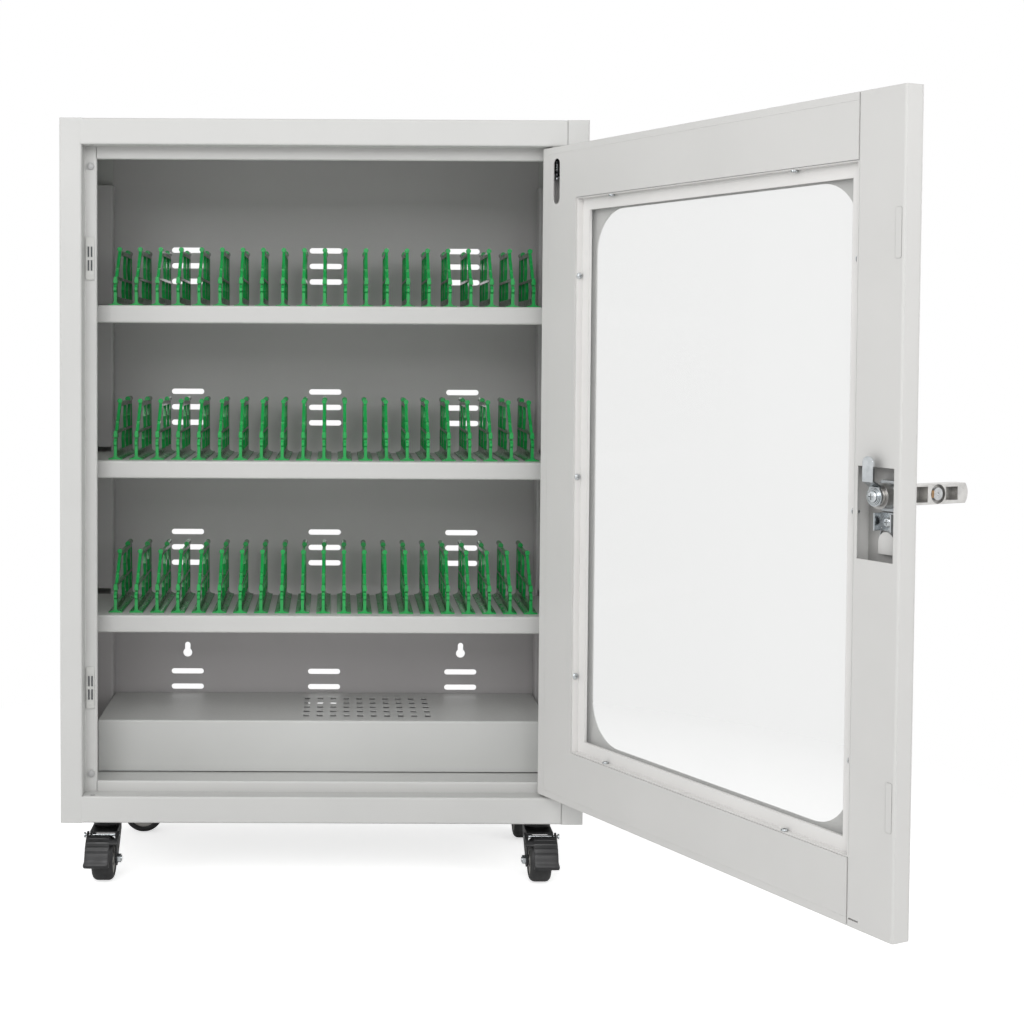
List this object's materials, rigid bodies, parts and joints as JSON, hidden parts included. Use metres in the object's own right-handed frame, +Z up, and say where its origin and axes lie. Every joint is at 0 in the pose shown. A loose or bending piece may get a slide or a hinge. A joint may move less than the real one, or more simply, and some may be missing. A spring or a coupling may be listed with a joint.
{
  "type": "phone charging cabinet",
  "caption": "Steel storage cabinet on casters with a framed clear door, shelves of upright phone dividers, a socket cover and a fold-out handle lock.",
  "frame": {"origin": "on the floor under the middle of the cabinet body", "axes": "+X towards the hinge side, +Y towards the back, +Z up"},
  "size_m": [0.8504, 0.7213, 0.848],
  "materials": {
    "powder_coat": "fine-textured powder coat",
    "green_plastic": "moulded, glossy",
    "pane": "clear",
    "zinc": "zinc plated",
    "chrome": "satin die-cast",
    "black_steel": "black enamel",
    "black_plastic": "moulded, matt",
    "white_plastic": "moulded, matt",
    "tread": "smooth",
    "soft": "soft, matt",
    "magnet": "dark, ground"
  },
  "bodies": {
    "cabinet": {"left_side_panel": "powder_coat", "right_side_panel": "powder_coat", "top_panel": "powder_coat", "bottom_panel": "powder_coat", "floor_panel": "powder_coat", "back_panel": "powder_coat", "rear_posts": "powder_coat", "shelf_upper": "powder_coat", "shelf_middle": "powder_coat", "shelf_lower": "powder_coat", "dividers_upper": "green_plastic", "dividers_middle": "green_plastic", "dividers_lower": "green_plastic", "power_cover": "powder_coat", "shelf_brackets": "powder_coat", "door_bumpers": "soft", "catch_bodies": "white_plastic", "catch_magnets": "magnet", "hinge_bushes": "white_plastic", "caster_plates": "black_steel", "caster_bolts": "zinc"},
    "door": {"door_skin": "powder_coat", "door_inner_panel": "powder_coat", "door_lock_stile": "powder_coat", "glazing_frame": "powder_coat", "window_pane": "pane", "glazing_screws": "zinc", "strike_plates": "zinc", "pin_guide": "black_steel", "pin_spring": "zinc", "lower_hinge_pin": "zinc", "escutcheon": "chrome", "lock_barrel": "chrome", "lock_nut": "zinc", "lock_clip": "zinc", "finger_cup": "powder_coat"},
    "sprung_pin": {"upper_hinge_pin": "zinc"},
    "latch": {"lock_spindle": "chrome", "lock_cam": "zinc", "cam_screw": "zinc"},
    "handle": {"handle_lever": "chrome"},
    "key": {"lock_key": "zinc"},
    "hanging_key": {"key_ring": "zinc", "spare_key": "zinc"},
    "swivel_front_left": {"fork_front_left": "black_steel", "axle_front_left": "zinc"},
    "roller_front_left": {"wheel_front_left": "tread"},
    "pedal_front_left": {"brake_front_left": "black_plastic"},
    "swivel_front_right": {"fork_front_right": "black_steel", "axle_front_right": "zinc"},
    "roller_front_right": {"wheel_front_right": "tread"},
    "pedal_front_right": {"brake_front_right": "black_plastic"},
    "swivel_rear_left": {"fork_rear_left": "black_steel", "axle_rear_left": "zinc"},
    "roller_rear_left": {"wheel_rear_left": "tread"},
    "swivel_rear_right": {"fork_rear_right": "black_steel", "axle_rear_right": "zinc"},
    "roller_rear_right": {"wheel_rear_right": "tread"}
  },
  "joints": [
    {"name": "door_hinge", "type": "hinge", "parent": "cabinet", "child": "door", "pos_m": [0.255, -0.124, 0.46], "axis": [0, 0, 1], "range_deg": [-117, 2]},
    {"name": "pin_slide", "type": "slide", "parent": "door", "child": "sprung_pin", "axis": [0, 0, -1], "range_m": [0, 0.008], "stiffness_N_per_m": 400, "springref_m": -0.01, "deforming": ["pin_spring"]},
    {"name": "latch_turn", "type": "hinge", "parent": "door", "child": "latch", "pos_m": [0.48371, -0.55965, 0.476], "axis": [0.891, 0.454, 0], "range_deg": [0, 90]},
    {"name": "handle_fold", "type": "hinge", "parent": "latch", "child": "handle", "pos_m": [0.49066, -0.55611, 0.476], "axis": [0, 0, -1], "range_deg": [0, 90]},
    {"name": "key_turn", "type": "hinge", "parent": "handle", "child": "key", "pos_m": [0.52719, -0.5375, 0.476], "axis": [0.454, -0.891, 0], "range_deg": [0, 90]},
    {"name": "key_swing", "type": "hinge", "parent": "key", "child": "hanging_key", "pos_m": [0.50998, -0.50945, 0.4772], "axis": [0.891, 0.454, 0], "range_deg": [-12, 12]},
    {"name": "swivel_front_left", "type": "hinge", "parent": "cabinet", "child": "swivel_front_left", "pos_m": [-0.2445, -0.084, 0.06], "axis": [0, 0, 1], "continuous": true},
    {"name": "wheel_front_left", "type": "hinge", "parent": "swivel_front_left", "child": "roller_front_left", "pos_m": [-0.2445, -0.107, 0.024], "axis": [1, 0, 0], "continuous": true},
    {"name": "pedal_front_left", "type": "hinge", "parent": "swivel_front_left", "child": "pedal_front_left", "pos_m": [-0.2445, -0.11, 0.051], "axis": [-1, 0, 0], "range_deg": [0, 14]},
    {"name": "swivel_front_right", "type": "hinge", "parent": "cabinet", "child": "swivel_front_right", "pos_m": [0.2445, -0.084, 0.06], "axis": [0, 0, 1], "continuous": true},
    {"name": "wheel_front_right", "type": "hinge", "parent": "swivel_front_right", "child": "roller_front_right", "pos_m": [0.2445, -0.107, 0.024], "axis": [1, 0, 0], "continuous": true},
    {"name": "pedal_front_right", "type": "hinge", "parent": "swivel_front_right", "child": "pedal_front_right", "pos_m": [0.2445, -0.11, 0.051], "axis": [-1, 0, 0], "range_deg": [0, 14]},
    {"name": "swivel_rear_left", "type": "hinge", "parent": "cabinet", "child": "swivel_rear_left", "pos_m": [-0.2445, 0.084, 0.06], "axis": [0, 0, 1], "continuous": true},
    {"name": "wheel_rear_left", "type": "hinge", "parent": "swivel_rear_left", "child": "roller_rear_left", "pos_m": [-0.2215, 0.084, 0.024], "axis": [0, 1, 0], "continuous": true},
    {"name": "swivel_rear_right", "type": "hinge", "parent": "cabinet", "child": "swivel_rear_right", "pos_m": [0.2445, 0.084, 0.06], "axis": [0, 0, 1], "continuous": true},
    {"name": "wheel_rear_right", "type": "hinge", "parent": "swivel_rear_right", "child": "roller_rear_right", "pos_m": [0.2445, 0.061, 0.024], "axis": [1, 0, 0], "continuous": true}
  ]
}
